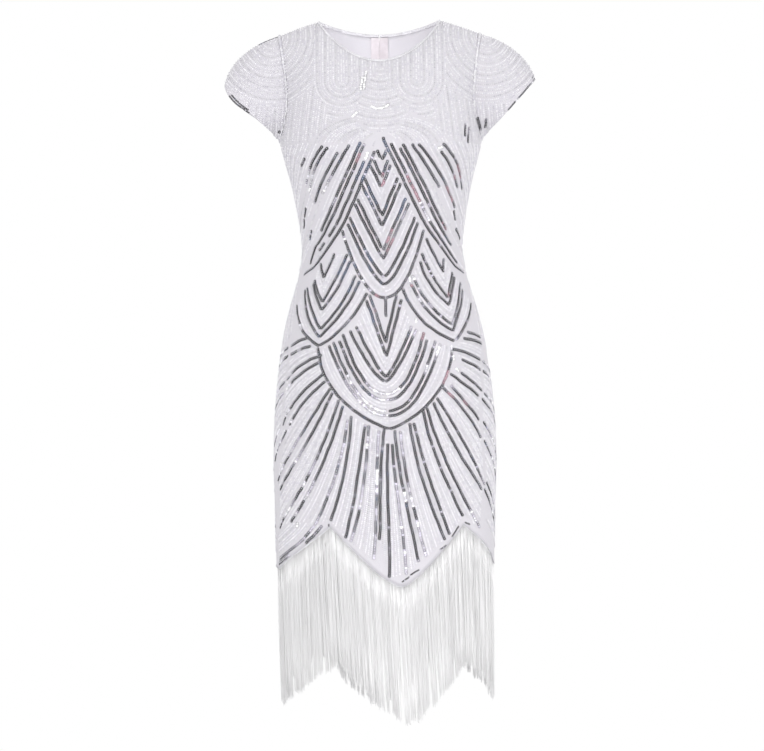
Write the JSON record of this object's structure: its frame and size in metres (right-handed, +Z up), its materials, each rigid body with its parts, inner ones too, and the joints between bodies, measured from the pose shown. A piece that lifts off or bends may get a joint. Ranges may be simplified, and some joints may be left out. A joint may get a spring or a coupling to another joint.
{
  "type": "flapper dress",
  "caption": "Fitted knee-length evening dress of sequinned net with cap sleeves, a round neck, a back zip and a pointed hem with long fringe, filled out as if worn.",
  "frame": {"origin": "between the two neck points, on the shoulder line that carries the dress", "axes": "+Z up out of the neck, -Y out of the front, +X to the wearer's left"},
  "size_m": [0.4638, 0.2462, 1.0459],
  "materials": {
    "sequinned_net": "satin",
    "neck_binding": "matte",
    "fringe_yarn": "satin",
    "zip_tape": "matte",
    "zip_teeth": "satin",
    "zip_metal": "gloss"
  },
  "bodies": {
    "dress": {"front": "sequinned_net", "back_left": "sequinned_net", "back_right": "sequinned_net", "sleeve_left": "sequinned_net", "sleeve_right": "sequinned_net", "neck_binding": "neck_binding", "zip_tape_left": "zip_tape", "zip_tape_right": "zip_tape", "zip_chain": "zip_teeth", "zip_slider": "zip_metal", "fringe_front": "fringe_yarn", "fringe_back": "fringe_yarn"},
    "pull_tab": {"zip_pull": "zip_metal"}
  },
  "joints": [
    {"name": "pull_tab_swing", "type": "hinge", "parent": "dress", "child": "pull_tab", "pos_m": [0, 0.0649, -0.0241], "axis": [1, 0, 0], "range_deg": [0, 150]}
  ]
}
